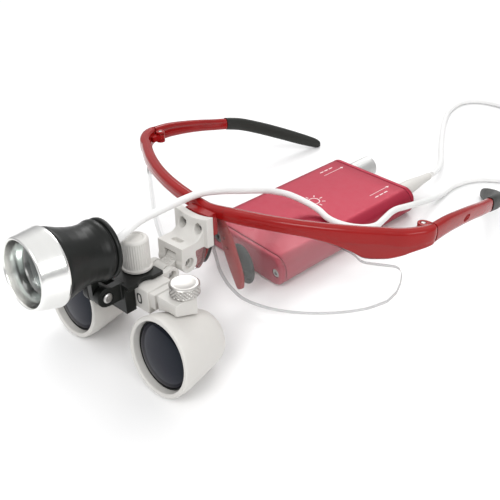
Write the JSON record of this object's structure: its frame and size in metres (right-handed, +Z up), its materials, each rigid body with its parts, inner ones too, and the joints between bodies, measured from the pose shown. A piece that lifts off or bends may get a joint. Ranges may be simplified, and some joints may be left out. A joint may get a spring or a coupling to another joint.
{
  "type": "dental loupes with head lamp",
  "caption": "Half-rim glasses with a flip-up mount carrying two loupe barrels and a corded lamp, with its pocket battery box.",
  "frame": {"origin": "bottom centre of the glasses and battery box as they stand on a table, without the cord", "axes": "+Z up, -Y the way the wearer looks, +X to the wearer's left"},
  "size_m": [0.1848, 0.3446, 0.0672],
  "materials": {
    "frame_red": "glossy red",
    "clear_lens": "clear",
    "black_rubber": "matte black",
    "steel": "satin",
    "white_plastic": "satin white",
    "black_plastic": "satin black",
    "lamp_black": "black anodised",
    "bright_aluminium": "turned and polished",
    "lamp_glass": "clear",
    "coated_glass": "dark coated",
    "box_red": "crimson anodised, satin",
    "cell_wrap": "shrink wrap over a foil cell",
    "board_green": "solder mask",
    "white_cord": "matte light grey"
  },
  "bodies": {
    "frame": {"front_frame": "frame_red", "lens_left": "clear_lens", "lens_right": "clear_lens", "nose_piece": "frame_red", "nose_pad_left": "black_rubber", "nose_pad_right": "black_rubber", "hinge_pin_left": "steel", "hinge_pin_right": "steel", "mount_bracket": "white_plastic", "bracket_screw_left": "steel", "bracket_screw_right": "steel", "flip_pin": "steel", "battery_case": "box_red", "charge_end_cap": "box_red", "output_end_cap": "box_red", "charge_end_screw_left": "steel", "charge_end_screw_right": "steel", "output_end_screw_left": "steel", "output_end_screw_right": "steel", "battery_cell": "cell_wrap", "circuit_board": "board_green", "charge_socket": "black_plastic", "output_plug": "white_plastic", "cord_lead_3": "white_cord", "cord_coil": "white_cord", "cord_return": "white_cord"},
    "left_temple": {"temple_left": "frame_red", "temple_tip_left": "black_rubber"},
    "right_temple": {"temple_right": "frame_red", "temple_tip_right": "black_rubber"},
    "link": {"flip_link": "white_plastic"},
    "bar": {"crossbar": "white_plastic", "tilt_pin": "steel", "lamp_clip": "black_plastic", "lamp_pivot_screw": "steel", "cord_lead_2": "white_cord"},
    "knob": {"clamp_knob": "white_plastic"},
    "lamp": {"lamp_housing": "lamp_black", "lamp_rear_cap": "lamp_black", "lamp_bezel": "bright_aluminium", "lamp_lens": "lamp_glass", "led_module": "bright_aluminium", "cable_gland": "black_rubber", "cord_lead_1": "white_cord"},
    "left_carriage": {"carriage_left": "white_plastic", "swivel_pin_left": "steel"},
    "right_carriage": {"carriage_right": "white_plastic", "swivel_pin_right": "steel"},
    "left_thumb_screw": {"thumb_screw_left": "steel"},
    "right_thumb_screw": {"thumb_screw_right": "steel"},
    "left_barrel": {"barrel_left": "white_plastic", "objective_lens_left": "coated_glass", "lens_ring_left": "black_plastic", "eyepiece_lens_left": "lamp_glass"},
    "right_barrel": {"barrel_right": "white_plastic", "objective_lens_right": "coated_glass", "lens_ring_right": "black_plastic", "eyepiece_lens_right": "lamp_glass"},
    "dimmer": {"dimmer_knob": "steel"}
  },
  "joints": [
    {"name": "temple_left_fold", "type": "hinge", "parent": "frame", "child": "left_temple", "pos_m": [0.0736, 0.00813, 0.03989], "axis": [0, 0.0767, 0.9971], "range_deg": [0, 13], "deforming": ["cord_lead_3"]},
    {"name": "temple_right_fold", "type": "hinge", "parent": "frame", "child": "right_temple", "pos_m": [-0.0736, 0.00813, 0.03989], "axis": [0, -0.0767, -0.9971], "range_deg": [0, 20]},
    {"name": "flip_up", "type": "hinge", "parent": "frame", "child": "link", "pos_m": [0, -0.04925, 0.02806], "axis": [-1, 0, 0], "range_deg": [0, 40], "deforming": ["cord_lead_1", "cord_lead_2", "cord_lead_3"]},
    {"name": "barrel_tilt", "type": "hinge", "parent": "link", "child": "bar", "pos_m": [0, -0.05749, 0.02648], "axis": [-1, 0, 0], "range_deg": [0, 15], "deforming": ["cord_lead_1", "cord_lead_2", "cord_lead_3"]},
    {"name": "clamp_turn", "type": "hinge", "parent": "bar", "child": "knob", "pos_m": [0, -0.06832, 0.03444], "axis": [0, 0.0767, 0.9971], "continuous": true},
    {"name": "lamp_tilt", "type": "hinge", "parent": "bar", "child": "lamp", "pos_m": [0, -0.08599, 0.03289], "axis": [1, 0, 0], "range_deg": [-10, 15], "deforming": ["cord_lead_1", "cord_lead_2"]},
    {"name": "carriage_left_slide", "type": "slide", "parent": "bar", "child": "left_carriage", "axis": [1, 0, 0], "range_m": [0, 0.004]},
    {"name": "carriage_right_slide", "type": "slide", "parent": "bar", "child": "right_carriage", "axis": [-1, 0, 0], "range_m": [0, 0.004]},
    {"name": "thumb_screw_left_turn", "type": "hinge", "parent": "left_carriage", "child": "left_thumb_screw", "pos_m": [0.0248, -0.06741, 0.03316], "axis": [0, 0.0767, 0.9971], "continuous": true},
    {"name": "thumb_screw_right_turn", "type": "hinge", "parent": "right_carriage", "child": "right_thumb_screw", "pos_m": [-0.0248, -0.06741, 0.03316], "axis": [0, 0.0767, 0.9971], "continuous": true},
    {"name": "barrel_left_swivel", "type": "hinge", "parent": "left_carriage", "child": "left_barrel", "pos_m": [0.0246, -0.07135, 0.01461], "axis": [0, 0.0767, 0.9971], "range_deg": [-6, 6]},
    {"name": "barrel_right_swivel", "type": "hinge", "parent": "right_carriage", "child": "right_barrel", "pos_m": [-0.0246, -0.07135, 0.01461], "axis": [0, -0.0767, -0.9971], "range_deg": [-6, 6]},
    {"name": "dimmer_turn", "type": "hinge", "parent": "frame", "child": "dimmer", "pos_m": [-0.00809, 0.08137, 0.007], "axis": [0.1357, 0.9907, 0], "range_deg": [0, 270]}
  ]
}
